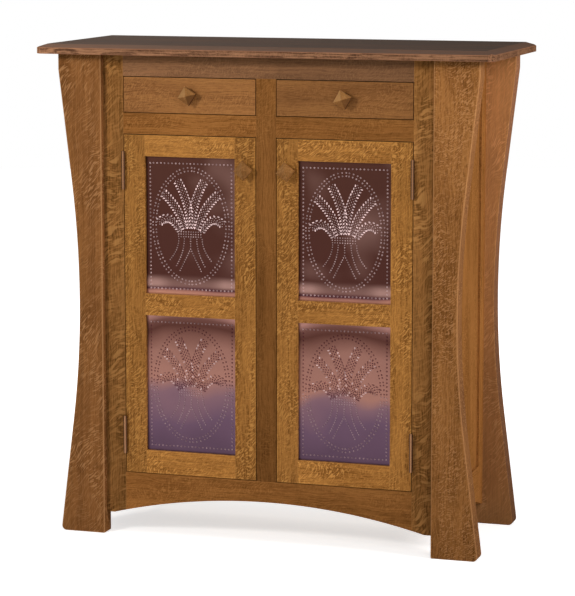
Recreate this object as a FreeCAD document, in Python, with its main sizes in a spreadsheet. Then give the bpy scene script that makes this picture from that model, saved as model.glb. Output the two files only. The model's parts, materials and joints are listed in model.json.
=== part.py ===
"""A pie safe: a free-standing oak cupboard with four flared legs, two drawers over two doors,
and punched copper sheets in the doors. Millimetres, +Z up, the front faces -Y.
The origin is on the floor under the middle of the top board."""

import FreeCAD, Part
import os
import re

import Sketcher
from FreeCAD import Placement, Rotation, Vector

doc = FreeCAD.newDocument("pie_safe")

# ---------------------------------------------------------------- driving dimensions

SIZES = [
    ("top_thickness", 24, "solid top board"),
    ("top_bevel_run", 24, "bevel on the upper arris, measured along the top"),
    ("top_bevel_drop", 9, "bevel on the upper arris, measured down the edge"),
    ("top_corner_clip", 13, "45 degree clip at the corners of the top"),
    ("top_overhang_front", 44, "top board past the front legs' faces"),
    ("top_overhang_side", 42, "top board past the legs' outer corners"),
    ("top_overhang_back", 3, "top board past the back legs"),
    ("leg_thickness", 45, "leg, front to back"),
    ("leg_span", 429, "front face of a front leg to back face of a back leg"),
    ("leg_top_width", 112, "flared leg under the top"),
    ("leg_head_height", 40, "straight part of a leg's outer edge, under the top"),
    ("leg_waist_width", 62, "flared leg at its waist"),
    ("leg_foot_width", 117, "flared leg at the floor"),
    ("leg_waist_height", 585, "floor to the waist"),
    ("leg_curve_reach", 295, "hollow curve of the leg's outer edge, above and below its waist"),
    ("leg_foot_round", 12, "rounded outer corner of the foot"),
    ("face_setback", 17, "face frame behind the legs' front faces"),
    ("face_thickness", 22, "face frame"),
    ("outer_stile_width", 51.5, "face frame stile beside a leg"),
    ("centre_stile_width", 50, "face frame stile between the doors"),
    ("opening_width", 342, "one door or drawer opening"),
    ("top_rail_height", 54, "rail over the drawers"),
    ("drawer_opening_height", 90, "drawer opening"),
    ("mid_rail_height", 51, "rail between drawer and door"),
    ("door_opening_height", 844.5, "door opening"),
    ("apron_top", 155.5, "floor to the top of the arched apron"),
    ("arch_foot", 52, "floor to the ends of the aprons' arches"),
    ("arch_rise", 52, "front arch, end to crown"),
    ("arch_flat", 20, "flat from a front leg to the end of the arch"),
    ("tenon_length", 25, "stub tenons of the rails"),
    ("centre_tenon_length", 12, "stub tenons let into the centre stile from both sides"),
    ("tenon_thickness", 7, "stub tenons of the rails"),
    ("tenon_shoulder", 9, "rail's edge to its tenon"),
    ("side_frame_inset", 16.5, "inner edge of a leg to the inner face of the side frame"),
    ("side_frame_thickness", 20, "side frame"),
    ("side_stile_width", 41, "side frame stile"),
    ("side_rail_height", 75, "top rail of the side frame"),
    ("side_panel_thickness", 6, "panel in the side frame"),
    ("side_panel_recess", 6.5, "side frame's outer face to its panel"),
    ("side_panel_groove", 8, "groove that holds the side panel"),
    ("side_arch_rise", 30, "side arch, end to crown"),
    ("side_arch_flat", 6, "flat from a leg to the end of the side arch"),
    ("back_board_thickness", 12, "back boards"),
    ("back_board_recess", 8, "back boards in front of the back legs' faces"),
    ("back_board_foot", 100, "floor to the lower end of the back boards"),
    ("back_board_bevel", 2.5, "bevel that makes a V joint between back boards"),
    ("bottom_thickness", 18, "cupboard floor"),
    ("deck_thickness", 18, "board under the drawers"),
    ("shelf_thickness", 18, "shelf behind the doors' middle rails"),
    ("shelf_top", 590, "floor to the top of the shelf"),
    ("shelf_clearance", 1, "shelf to the frames round it"),
    ("cleat_width", 20, "cleats under the boards"),
    ("cleat_height", 20, "cleats under the boards"),
    ("stop_width", 76, "door stop behind the centre stile"),
    ("stop_thickness", 12, "door stop behind the centre stile"),
    ("stop_clearance", 0.3, "closed door to its stop"),
    ("door_gap", 2, "inset door or drawer front to its opening"),
    ("door_stile_width", 53, "door stile"),
    ("door_top_rail", 52, "door top rail"),
    ("door_mid_rail", 54, "door middle rail"),
    ("door_bottom_rail", 57, "door bottom rail"),
    ("door_tenon_setback", 2, "door's front face to its tenons"),
    ("copper_setback", 10, "door's front face to the copper sheet"),
    ("copper_rabbet", 8, "rabbet behind the door frame"),
    ("copper_thickness", 1, "punched copper sheet"),
    ("copper_clearance", 0.5, "copper sheet to the end of its rabbet"),
    ("bead_thickness", 8, "wooden beads that hold the copper sheet"),
    ("hinge_length", 89, "butt hinge"),
    ("hinge_top_margin", 43, "top of a door to its upper hinge"),
    ("hinge_foot_margin", 50, "bottom of a door to its lower hinge"),
    ("hinge_standoff", 5, "pin's axis in front of the door's face"),
    ("knuckle_radius", 4.5, "hinge barrel"),
    ("knuckle_gap", 0.3, "between neighbouring knuckles, and behind the barrel"),
    ("pin_radius", 2.4, "hinge pin"),
    ("pin_clearance", 0.05, "pin in its bore"),
    ("pin_head_radius", 4, "head at each end of a pin"),
    ("pin_head_height", 2.5, "head at each end of a pin"),
    ("leaf_thickness", 2, "hinge leaf"),
    ("leaf_depth", 18, "hinge leaf let into the edge of a stile"),
    ("leaf_gap", 0.2, "between the two leaves of a closed hinge"),
    ("knob_width", 34, "square knob head"),
    ("knob_edge", 6, "upright edge of the knob head"),
    ("knob_peak", 9, "low pyramid on the knob head"),
    ("knob_tip", 2, "blunted tip of the pyramid"),
    ("knob_stem_radius", 8, "turned stem"),
    ("knob_stem_length", 12, "turned stem"),
    ("knob_drop", 78.5, "top of a door to the centre of its knob"),
    ("drawer_front_thickness", 20, "drawer front"),
    ("drawer_side_thickness", 12, "drawer sides and back"),
    ("drawer_side_inset", 3, "end of a drawer front to its side"),
    ("drawer_rear_clearance", 12, "closed drawer to the back boards"),
    ("drawer_side_drop", 13, "top of the drawer front to the top of its sides"),
    ("drawer_lift", 0.3, "drawer's sides to the deck"),
    ("drawer_bottom_thickness", 6, "drawer bottom"),
    ("drawer_bottom_rise", 6, "lower edge of a drawer side to its bottom board"),
    ("drawer_groove", 6, "groove that holds the drawer bottom"),
    ("dovetail_flare", 3, "half the growth of a dovetail from root to end"),
    ("dovetail_root", 14, "width of a dovetail at its root"),
    ("dovetail_lap", 5, "drawer front left over the dovetails"),
    ("guide_clearance", 1, "drawer side to its guide"),
    ("guide_width", 20, "outer drawer guide"),
    ("guide_height", 20, "drawer guides"),
    ("kicker_width", 30, "strip over a drawer that stops it tipping"),
    ("kicker_height", 20, "strip over a drawer that stops it tipping"),
]

BACK_BOARDS = 6
DOVETAILS = 3
DRAWER_KNOB_TURNS = {"left": 32, "right": 29}
DOOR_KNOB_TURNS = {"left": 40, "right": 35}

# ---------------------------------------------------------------- places that follow from them

PLACES = [
    ("leg_inner", "centre_stile_width / 2 + opening_width + outer_stile_width"),
    ("opening_inner", "centre_stile_width / 2"),
    ("opening_outer", "opening_inner + opening_width"),
    ("opening_middle", "opening_inner + opening_width / 2"),
    ("top_half_width", "leg_inner + leg_top_width + top_overhang_side"),
    ("top_half_depth", "(top_overhang_front + leg_span + top_overhang_back) / 2"),
    ("leg_front", "top_overhang_front - top_half_depth"),
    ("leg_rear", "leg_front + leg_thickness"),
    ("back_leg_rear", "leg_front + leg_span"),
    ("back_leg_front", "back_leg_rear - leg_thickness"),
    ("side_middle", "(leg_rear + back_leg_front) / 2"),
    ("side_half", "(back_leg_front - leg_rear) / 2"),
    ("face_front", "leg_front + face_setback"),
    ("face_rear", "face_front + face_thickness"),
    ("door_ceiling", "apron_top + door_opening_height"),
    ("drawer_floor", "door_ceiling + mid_rail_height"),
    ("drawer_ceiling", "drawer_floor + drawer_opening_height"),
    ("case_top", "drawer_ceiling + top_rail_height"),
    ("side_inner", "leg_inner + side_frame_inset"),
    ("side_outer", "side_inner + side_frame_thickness"),
    ("side_panel_outer", "side_outer - side_panel_recess"),
    ("side_panel_inner", "side_panel_outer - side_panel_thickness"),
    ("side_front_stile_end", "leg_rear + side_stile_width"),
    ("side_back_stile_start", "back_leg_front - side_stile_width"),
    ("side_rail_foot", "case_top - side_rail_height"),
    ("back_front", "back_leg_rear - back_board_recess - back_board_thickness"),
    ("back_board_width", f"2 * leg_inner / {BACK_BOARDS}"),
    ("front_arch_half", "leg_inner - arch_flat"),
    ("side_arch_half", "side_half - side_arch_flat"),
    ("tenon_front", "face_front + (face_thickness - tenon_thickness) / 2"),
    ("tenon_rear", "tenon_front + tenon_thickness"),
    ("side_tenon_inner", "side_inner + (side_frame_thickness - tenon_thickness) / 2"),
    ("side_tenon_outer", "side_tenon_inner + tenon_thickness"),
    ("door_inner", "opening_inner + door_gap"),
    ("door_outer", "opening_outer - door_gap"),
    ("door_foot", "apron_top + door_gap"),
    ("door_head", "door_ceiling - door_gap"),
    ("door_rear", "face_rear - stop_clearance"),
    ("pane_inner", "door_inner + door_stile_width"),
    ("pane_outer", "door_outer - door_stile_width"),
    ("pane_height",
     "(door_head - door_foot - door_top_rail - door_mid_rail - door_bottom_rail) / 2"),
    ("lower_pane_foot", "door_foot + door_bottom_rail"),
    ("lower_pane_head", "lower_pane_foot + pane_height"),
    ("upper_pane_foot", "lower_pane_head + door_mid_rail"),
    ("upper_pane_head", "upper_pane_foot + pane_height"),
    ("copper_front", "face_front + copper_setback"),
    ("copper_rear", "copper_front + copper_thickness"),
    ("copper_reach", "copper_rabbet - copper_clearance"),
    ("door_tenon_front", "face_front + door_tenon_setback"),
    ("door_tenon_rear", "door_tenon_front + tenon_thickness"),
    ("hinge_axis_x", "opening_outer - door_gap / 2"),
    ("hinge_axis_y", "face_front - hinge_standoff"),
    ("leaf_rear", "face_front + leaf_depth"),
    ("knuckle_pitch", "hinge_length / 5"),
    ("upper_hinge_foot", "door_head - hinge_top_margin - hinge_length"),
    ("lower_hinge_foot", "door_foot + hinge_foot_margin"),
    ("drawer_foot", "drawer_floor + door_gap"),
    ("drawer_head", "drawer_ceiling - door_gap"),
    ("drawer_front_rear", "face_front + drawer_front_thickness"),
    ("drawer_side_inner_low", "door_inner + drawer_side_inset"),
    ("drawer_side_inner_high", "drawer_side_inner_low + drawer_side_thickness"),
    ("drawer_side_outer_high", "door_outer - drawer_side_inset"),
    ("drawer_side_outer_low", "drawer_side_outer_high - drawer_side_thickness"),
    ("drawer_rear", "back_front - drawer_rear_clearance"),
    ("drawer_side_foot", "drawer_floor + drawer_lift"),
    ("drawer_side_head", "drawer_head - drawer_side_drop"),
    ("drawer_side_height", "drawer_side_head - drawer_side_foot"),
    ("drawer_bottom_foot", "drawer_side_foot + drawer_bottom_rise"),
    ("drawer_bottom_head", "drawer_bottom_foot + drawer_bottom_thickness"),
    ("dovetail_length", "drawer_front_thickness - dovetail_lap"),
    ("dovetail_pitch", f"drawer_side_height / {DOVETAILS}"),
]

values = {}
owners = {}


def formula(text):
    """Write the aliases in a formula with the names of their sheets."""
    def owned(word):
        name = word.group(0)
        return f"{owners[name]}.{name}" if name in owners else name
    return re.sub(r"[a-z_]+", owned, text)


def fill_sheet(label, rows):
    """Make a spreadsheet with an alias, its content and a note in each row."""
    sheet = doc.addObject("Spreadsheet::Sheet", label)
    owners.update((alias, label) for alias, content, note in rows)
    for number, (alias, content, note) in enumerate(rows, 1):
        sheet.set(f"A{number}", alias)
        sheet.set(f"B{number}", content)
        sheet.setAlias(f"B{number}", alias)
        sheet.set(f"C{number}", note)
    doc.recompute()
    values.update((alias, float(sheet.get(alias))) for alias, content, note in rows)


fill_sheet("Sizes", [(alias, str(size), note) for alias, size, note in SIZES])
owners.update((alias, "Places") for alias, rule in PLACES)
fill_sheet("Places", [(alias, "=" + formula(rule), rule) for alias, rule in PLACES])


# ---------------------------------------------------------------- ways of making a piece

nodes = {}


def keep(name, item):
    """Make an object a piece of the pie safe, under its own label."""
    item.Label = name
    nodes[name] = item
    return item


def bind(item, **rules):
    """Bind properties to formulas."""
    for name, rule in rules.items():
        item.setExpression(name, formula(rule))


def place(item, x="0", y="0", z="0"):
    """Bind where an object stands."""
    for axis, rule in zip("xyz", (x, y, z)):
        item.setExpression(f"Placement.Base.{axis}", formula(rule))


def block(name, x, y, z):
    """A box between a low and a high plane on each axis."""
    box = doc.addObject("Part::Box", name)
    length, width, height = (f"({high}) - ({low})" for low, high in (x, y, z))
    bind(box, Length=length, Width=width, Height=height)
    place(box, x[0], y[0], z[0])
    return box


def joined(name, items):
    """Several objects in one, with the seams between them taken out."""
    if len(items) == 1:
        return items[0]
    fuse = doc.addObject("Part::MultiFuse", name)
    fuse.Shapes = items
    fuse.Refine = True
    return fuse


def less(name, item, tools):
    """An object with others cut out of it."""
    cut = doc.addObject("Part::Cut", name)
    cut.Base = item
    cut.Tool = joined(name + "_tools", tools)
    return cut


def board(name, x, y, z, tenons=(), cuts=(), tools=()):
    """A sawn board with tenons on it, and mortises, rabbets and grooves cut in it."""
    item = block(name + "_blank", x, y, z)
    if tenons:
        extra = [block(f"{name}_tenon_{n}", *tenon) for n, tenon in enumerate(tenons)]
        item = joined(name + "_tenoned", [item] + extra)
    waste = [block(f"{name}_cut_{n}", *cut) for n, cut in enumerate(cuts)] + list(tools)
    if waste:
        item = less(name, item, waste)
    return item


def mirrored(name, item):
    """The same piece on the other side of the cupboard."""
    twin = doc.addObject("Part::Mirroring", name)
    twin.Source = item
    twin.Normal = Vector(1, 0, 0)
    return twin


def group(name, items):
    """Like pieces that stay separate solids and share a node."""
    compound = doc.addObject("Part::Compound", name)
    compound.Links = items
    return compound


def both_sides(name, item):
    """Keep a right-hand piece and its left-hand twin."""
    keep("right_" + name, item)
    keep("left_" + name, mirrored("left_" + name, item))


def sketch_on(body, name, plane, offset="0"):
    """A sketch on one of a body's own planes, moved along the plane's normal."""
    sketch = body.newObject("Sketcher::SketchObject", name)
    support = [item for item in body.Origin.OriginFeatures if item.Role == plane][0]
    sketch.AttachmentSupport = [(support, "")]
    sketch.MapMode = "FlatFace"
    sketch.setExpression("AttachmentOffset.Base.z", formula(offset))
    return sketch


def limit(sketch, rule, *what):
    """Add a constraint whose value follows a formula."""
    number = sketch.addConstraint(Sketcher.Constraint(*what))
    sketch.setExpression(f"Constraints[{number}]", formula(rule))


def outline(sketch, points):
    """A closed outline of straight lines through points given by formulas.
    It is drawn as a rough ring, and the constraints pull it into shape."""
    count = len(points)
    rough = [Rotation(Vector(0, 0, 1), 360 * number / count).multVec(Vector(1, 0, 0))
             for number in range(count)]
    for line in range(count):
        sketch.addGeometry(Part.LineSegment(rough[line], rough[(line + 1) % count]))
    for line in range(count):
        following = (line + 1) % count
        sketch.addConstraint(Sketcher.Constraint("Coincident", line, 2, following, 1))
    for line, (across, up) in enumerate(points):
        limit(sketch, across, "DistanceX", -1, 1, line, 1, rough[line].x)
        limit(sketch, up, "DistanceY", -1, 1, line, 1, rough[line].y)
    return sketch


def rectangle(sketch, half_width, half_height):
    """A rectangle about the sketch's origin."""
    return outline(sketch, [(f"-({half_width})", f"-({half_height})"),
                            (half_width, f"-({half_height})"),
                            (half_width, half_height),
                            (f"-({half_width})", half_height)])


def circle(sketch, radius):
    """A circle about the sketch's origin."""
    sketch.addGeometry(Part.Circle(Vector(0, 0, 0), Vector(0, 0, 1), 1))
    sketch.addConstraint(Sketcher.Constraint("Coincident", 0, 3, -1, 1))
    limit(sketch, radius, "Radius", 0, 1)
    return sketch


def pad(body, sketch, length, name="pad", turned=False):
    """Raise a sketch; turned sends it against the plane's normal."""
    raised = body.newObject("PartDesign::Pad", name)
    raised.Profile = sketch
    raised.Reversed = turned
    bind(raised, Length=length)
    body.Tip = raised
    return raised


def pocket(body, sketch, length, name="pocket", turned=False):
    """Cut a sketch away; turned sends the cut along the plane's normal."""
    before = body.Tip
    doc.recompute()
    volume = before.Shape.Volume
    sunk = body.newObject("PartDesign::Pocket", name)
    sunk.Profile = sketch
    sunk.Reversed = turned
    bind(sunk, Length=length)
    body.Tip = sunk
    doc.recompute()
    if sunk.Shape.Volume >= volume:
        raise ValueError(f"{body.Label}: {name} cuts nothing")
    return sunk


def loft(body, lower, upper, name="loft"):
    """Join two sketches with straight faces."""
    skin = body.newObject("PartDesign::AdditiveLoft", name)
    skin.Profile = lower
    skin.Sections = [upper]
    skin.Ruled = True
    body.Tip = skin
    return skin


def new_body(name):
    return doc.addObject("PartDesign::Body", name)


# ---------------------------------------------------------------- top board
# One wide oak board. A shallow bevel runs round its upper arris and its corners are clipped.

top = new_body("top")
place(top, z="case_top")
base = rectangle(sketch_on(top, "top_outline", "XY_Plane"), "top_half_width", "top_half_depth")
pad(top, base, "top_thickness - top_bevel_drop", "top_edge")
bevel_foot = rectangle(sketch_on(top, "bevel_foot", "XY_Plane", "top_thickness - top_bevel_drop"),
                       "top_half_width", "top_half_depth")
bevel_head = rectangle(sketch_on(top, "bevel_head", "XY_Plane", "top_thickness"),
                       "top_half_width - top_bevel_run", "top_half_depth - top_bevel_run")
loft(top, bevel_foot, bevel_head, "top_bevel")
for number, (east, north) in enumerate(((1, 1), (1, -1), (-1, -1), (-1, 1))):
    corner = (f"{east} * top_half_width", f"{north} * top_half_depth")
    clip = outline(sketch_on(top, f"corner_{number}", "XY_Plane"),
                   [corner,
                    (f"{east} * (top_half_width - top_corner_clip)", corner[1]),
                    (corner[0], f"{north} * (top_half_depth - top_corner_clip)")])
    pocket(top, clip, "top_thickness", f"corner_clip_{number}", turned=True)
keep("top_board", top)

# ---------------------------------------------------------------- flared legs
# Broad oak planks from the floor to the top. The inner edge is straight. The outer edge is
# hollowed about the waist, with straight flares that leave the hollow at a tangent, and ends
# in a short upright head under the top.


def leg(name, y):
    body = new_body(name + "_body")
    place(body, "leg_inner", y)
    sketch = sketch_on(body, name + "_outline", "XZ_Plane")
    head = Vector(values["leg_top_width"], values["case_top"], 0)
    shoulder = head - Vector(0, values["leg_head_height"], 0)
    foot = Vector(values["leg_foot_width"], 0, 0)
    waist = Vector(values["leg_waist_width"], values["leg_waist_height"], 0)
    reach = values["leg_curve_reach"]

    def on_hollow(corner, share):
        """A point of the rough curve from the waist towards a corner."""
        rise = abs(corner.y - waist.y)
        radius = reach * (rise - reach / 2) / (corner.x - waist.x)
        along = reach * share
        up = along if corner.y > waist.y else -along
        return waist + Vector(along ** 2 / radius / 2, up, 0)

    upper = on_hollow(shoulder, 1)
    lower = on_hollow(foot, 1)
    inner_head = Vector(0, head.y, 0)
    sketch.addGeometry([
        Part.LineSegment(Vector(0, 0, 0), inner_head),
        Part.LineSegment(inner_head, head),
        Part.LineSegment(head, shoulder),
        Part.LineSegment(shoulder, upper),
        Part.Arc(upper, on_hollow(shoulder, 0.5), waist),
        Part.Arc(waist, on_hollow(foot, 0.5), lower),
        Part.LineSegment(lower, foot),
        Part.LineSegment(foot, Vector(0, 0, 0)),
    ])
    sketch.addConstraint([
        Sketcher.Constraint("Coincident", 0, 1, -1, 1),
        Sketcher.Constraint("Coincident", 0, 2, 1, 1),
        Sketcher.Constraint("Coincident", 1, 2, 2, 1),
        Sketcher.Constraint("Coincident", 2, 2, 3, 1),
        Sketcher.Constraint("Tangent", 3, 2, 4, 1),
        Sketcher.Constraint("Tangent", 4, 2, 5, 1),
        Sketcher.Constraint("Tangent", 5, 2, 6, 1),
        Sketcher.Constraint("Coincident", 6, 2, 7, 1),
        Sketcher.Constraint("Coincident", 7, 2, 0, 1),
        Sketcher.Constraint("Vertical", 0),
        Sketcher.Constraint("Horizontal", 1),
        Sketcher.Constraint("Vertical", 2),
        Sketcher.Constraint("Horizontal", 7),
    ])
    limit(sketch, "case_top", "DistanceY", 0, 1, 0, 2, head.y)
    limit(sketch, "leg_top_width", "DistanceX", 1, 1, 1, 2, head.x)
    limit(sketch, "leg_head_height", "DistanceY", 2, 2, 2, 1, head.y - shoulder.y)
    limit(sketch, "leg_foot_width", "DistanceX", 7, 2, 7, 1, foot.x)
    limit(sketch, "leg_waist_width", "DistanceX", -1, 1, 4, 2, waist.x)
    limit(sketch, "leg_waist_height", "DistanceY", -1, 1, 4, 2, waist.y)
    limit(sketch, "leg_waist_height", "DistanceY", -1, 1, 4, 3, waist.y)
    limit(sketch, "leg_waist_height + leg_curve_reach", "DistanceY", -1, 1, 4, 1, upper.y)
    limit(sketch, "leg_waist_height - leg_curve_reach", "DistanceY", -1, 1, 5, 2, lower.y)
    plank = pad(body, sketch, "leg_thickness", name + "_plank", turned=True)
    doc.recompute()

    def from_foot(number):
        """How far an edge of the plank lies from the outer corner of the foot."""
        middle = plank.Shape.Edges[number].CenterOfMass
        return (middle - Vector(foot.x, middle.y, 0)).Length

    corner = min(range(len(plank.Shape.Edges)), key=from_foot) + 1
    rounded = body.newObject("PartDesign::Fillet", name + "_foot_round")
    rounded.Base = (plank, [f"Edge{corner}"])
    bind(rounded, Radius="leg_foot_round")
    body.Tip = rounded
    return body


for end, y in (("front", "leg_front"), ("back", "back_leg_front")):
    right_leg = leg(f"{end}_leg", y)
    keep(f"{end}_right_leg", right_leg)
    keep(f"{end}_left_leg", mirrored(f"{end}_left_leg", right_leg))

# ---------------------------------------------------------------- face frame
# Stiles and rails with stub tenons. One arch is sawn through the apron and the stiles' feet.


def arch_waste(name, plane, half, rise, x, y):
    """The piece that is sawn out under an arched apron."""
    body = new_body(name)
    place(body, x, y, "arch_foot")
    sketch = sketch_on(body, name + "_outline", plane)
    reach = values[half]
    crown = values[rise]
    saw_exit = -values["arch_foot"]
    right = Vector(reach, 0, 0)
    left = Vector(-reach, 0, 0)
    sketch.addGeometry([
        Part.Arc(right, Vector(0, crown, 0), left),
        Part.LineSegment(left, Vector(-reach, saw_exit, 0)),
        Part.LineSegment(Vector(-reach, saw_exit, 0), Vector(reach, saw_exit, 0)),
        Part.LineSegment(Vector(reach, saw_exit, 0), right),
    ])
    for line in range(4):
        following = (line + 1) % 4
        sketch.addConstraint(Sketcher.Constraint("Coincident", line, 2, following, 1))
    for line in (1, 3):
        sketch.addConstraint(Sketcher.Constraint("Vertical", line))
    sketch.addConstraint(Sketcher.Constraint("Horizontal", 2))
    limit(sketch, half, "DistanceX", -1, 1, 0, 1, reach)
    limit(sketch, f"-{half}", "DistanceX", -1, 1, 0, 2, -reach)
    limit(sketch, "0", "DistanceY", -1, 1, 0, 1, 0)
    limit(sketch, "0", "DistanceY", -1, 1, 0, 2, 0)
    limit(sketch, f"({half}^2 + {rise}^2) / (2 * {rise})",
          "Radius", 0, (reach ** 2 + crown ** 2) / (2 * crown))
    limit(sketch, "-arch_foot", "DistanceY", -1, 1, 2, 1, saw_exit)
    sawn = pad(body, sketch, "2 * leg_thickness", name + "_sawn")
    sawn.SideType = "Symmetric"
    return body


front_arch = arch_waste("front_arch", "XZ_Plane", "front_arch_half", "arch_rise",
                        "0", "face_front")
face = ("face_front", "face_rear")
face_tenon = ("tenon_front", "tenon_rear")


def tenon_between(foot, head):
    """A tenon's height inside a rail, between its shoulders."""
    return (f"{foot} + tenon_shoulder", f"{head} - tenon_shoulder")


past_outer = ("opening_outer", "opening_outer + tenon_length")
past_inner = ("opening_inner - centre_tenon_length", "opening_inner")
past_inner_twin = ("-opening_inner", "centre_tenon_length - opening_inner")
top_rail_tenon = tenon_between("drawer_ceiling", "case_top")
mid_rail_tenon = tenon_between("door_ceiling", "drawer_floor")
apron_tenon = tenon_between("arch_foot + arch_rise", "apron_top")
post_tenon_across = ("-opening_inner + tenon_shoulder", "opening_inner - tenon_shoulder")
post_head = (post_tenon_across, face_tenon, ("drawer_ceiling", "drawer_ceiling + tenon_length"))
post_foot = (post_tenon_across, face_tenon, ("apron_top - tenon_length", "apron_top"))


def face_mortises():
    """Mortises in an outer stile for the rails that meet it."""
    return [(past_outer, face_tenon, height)
            for height in (top_rail_tenon, mid_rail_tenon, apron_tenon)]


def through_rail(name, height, tenon_height, mortise, tools=()):
    """A rail from outer stile to outer stile, with the centre stile let into it."""
    ends = [(past_outer, face_tenon, tenon_height),
            (("-opening_outer - tenon_length", "-opening_outer"), face_tenon, tenon_height)]
    across = ("-opening_outer", "opening_outer")
    return board(name, across, face, height, ends, [mortise], tools)


hinge_leaf_pockets = [
    (("opening_outer", "hinge_axis_x + leaf_gap / 2 + leaf_thickness"),
     ("face_front", "leaf_rear"), (foot, f"{foot} + hinge_length"))
    for foot in ("upper_hinge_foot", "lower_hinge_foot")]

both_sides("stile", board("stile", ("opening_outer", "leg_inner"), face,
                          ("arch_foot", "case_top"),
                          cuts=face_mortises() + hinge_leaf_pockets, tools=[front_arch]))
keep("top_rail", through_rail("top_rail", ("drawer_ceiling", "case_top"),
                              top_rail_tenon, post_head))
keep("arched_apron", through_rail("arched_apron", ("arch_foot", "apron_top"),
                                  apron_tenon, post_foot, [front_arch]))
keep("centre_stile", board(
    "centre_stile", ("-opening_inner", "opening_inner"), face, ("apron_top", "drawer_ceiling"),
    [post_head, post_foot],
    [(past_inner, face_tenon, mid_rail_tenon),
     (past_inner_twin, face_tenon, mid_rail_tenon)]))
both_sides("mid_rail", board(
    "mid_rail", ("opening_inner", "opening_outer"), face, ("door_ceiling", "drawer_floor"),
    [(past_outer, face_tenon, mid_rail_tenon),
     (past_inner, face_tenon, mid_rail_tenon)]))
keep("door_stop", block("door_stop", ("-stop_width / 2", "stop_width / 2"),
                        ("face_rear", "face_rear + stop_thickness"),
                        ("apron_top", "door_ceiling")))

# ---------------------------------------------------------------- side frames
# A grooved frame stands behind the legs on each side and holds a thin recessed panel.
# Its lower rail is arched like the front apron.

side = ("side_inner", "side_outer")
side_tenon = ("side_tenon_inner", "side_tenon_outer")
side_panel = (("side_panel_inner", "side_panel_outer"),
              ("side_front_stile_end - side_panel_groove",
               "side_back_stile_start + side_panel_groove"),
              ("apron_top - side_panel_groove", "side_rail_foot + side_panel_groove"))
side_arch = arch_waste("side_arch", "YZ_Plane", "side_arch_half", "side_arch_rise",
                       "side_inner", "side_middle")
side_rail_tenon = tenon_between("side_rail_foot + side_panel_groove", "case_top")
side_apron_tenon = tenon_between("arch_foot + side_arch_rise", "apron_top - side_panel_groove")
side_front_tenon = ("side_front_stile_end - tenon_length", "side_front_stile_end")
side_back_tenon = ("side_back_stile_start", "side_back_stile_start + tenon_length")
side_heights = ("arch_foot", "case_top")


def side_rail(name, height, tenon_height, tools=()):
    return board(name, side, ("side_front_stile_end", "side_back_stile_start"), height,
                 [(side_tenon, side_front_tenon, tenon_height),
                  (side_tenon, side_back_tenon, tenon_height)], [side_panel], tools)


both_sides("side_panel", block("side_panel", *side_panel))
both_sides("side_front_stile", board(
    "side_front_stile", side, ("leg_rear", "side_front_stile_end"), side_heights,
    cuts=[side_panel] + [(side_tenon, side_front_tenon, height)
                         for height in (side_rail_tenon, side_apron_tenon)],
    tools=[side_arch]))
both_sides("side_back_stile", board(
    "side_back_stile", side, ("side_back_stile_start", "back_leg_front"), side_heights,
    cuts=[side_panel] + [(side_tenon, side_back_tenon, height)
                         for height in (side_rail_tenon, side_apron_tenon)],
    tools=[side_arch]))
both_sides("side_top_rail", side_rail("side_top_rail", ("side_rail_foot", "case_top"),
                                      side_rail_tenon))
both_sides("side_apron", side_rail("side_apron", ("arch_foot", "apron_top"),
                                   side_apron_tenon, [side_arch]))

# ---------------------------------------------------------------- back boards
# Upright boards between the back legs, with their outer arrises planed off to a V at each joint.

back_boards = []
for number in range(BACK_BOARDS):
    slat = new_body(f"back_board_{number}")
    place(slat, f"-leg_inner + {number} * back_board_width", "back_front", "back_board_foot")
    plan = outline(sketch_on(slat, f"back_board_plan_{number}", "XY_Plane"),
                   [("0", "0"),
                    ("back_board_width", "0"),
                    ("back_board_width", "back_board_thickness - back_board_bevel"),
                    ("back_board_width - back_board_bevel", "back_board_thickness"),
                    ("back_board_bevel", "back_board_thickness"),
                    ("0", "back_board_thickness - back_board_bevel")])
    pad(slat, plan, "case_top - back_board_foot", f"back_board_pad_{number}")
    back_boards.append(slat)
keep("back_boards", group("back_boards", back_boards))

# ---------------------------------------------------------------- inside boards
# The cupboard's floor, its shelf and the deck under the drawers are notched round the legs and
# lie on cleats. Guides and kickers keep the drawers straight and level.


def notched_board(name, foot, thickness, clearance="0", front="face_rear"):
    """A board that fills the case and is cut round all four legs."""
    body = new_body(name + "_body")
    place(body, z=foot)
    wide = f"side_inner - ({clearance})"
    narrow = f"leg_inner - ({clearance})"
    rear = f"back_front - ({clearance})"
    front_notch = f"leg_rear + ({clearance})"
    back_notch = f"back_leg_front - ({clearance})"
    half = [(narrow, front), (narrow, front_notch), (wide, front_notch),
            (wide, back_notch), (narrow, back_notch), (narrow, rear)]
    other = [(f"-({across})", along) for across, along in reversed(half)]
    pad(body, outline(sketch_on(body, name + "_plan", "XY_Plane"), half + other), thickness,
        name + "_pad")
    return body


keep("cupboard_floor", notched_board("cupboard_floor", "apron_top - bottom_thickness",
                                     "bottom_thickness"))
keep("shelf", notched_board("shelf", "shelf_top - shelf_thickness", "shelf_thickness",
                            "shelf_clearance",
                            "face_rear + stop_thickness + shelf_clearance"))
keep("drawer_deck", notched_board("drawer_deck", "drawer_floor - deck_thickness",
                                  "deck_thickness"))

cleats = []
for number, head in enumerate(("apron_top - bottom_thickness", "shelf_top - shelf_thickness",
                               "drawer_floor - deck_thickness", "case_top")):
    cleat = block(f"cleat_{number}", ("side_inner - cleat_width", "side_inner"),
                  ("leg_rear", "back_leg_front"), (f"{head} - cleat_height", head))
    cleats += [cleat, mirrored(f"cleat_twin_{number}", cleat)]
keep("cleats", group("cleats", cleats))

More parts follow.
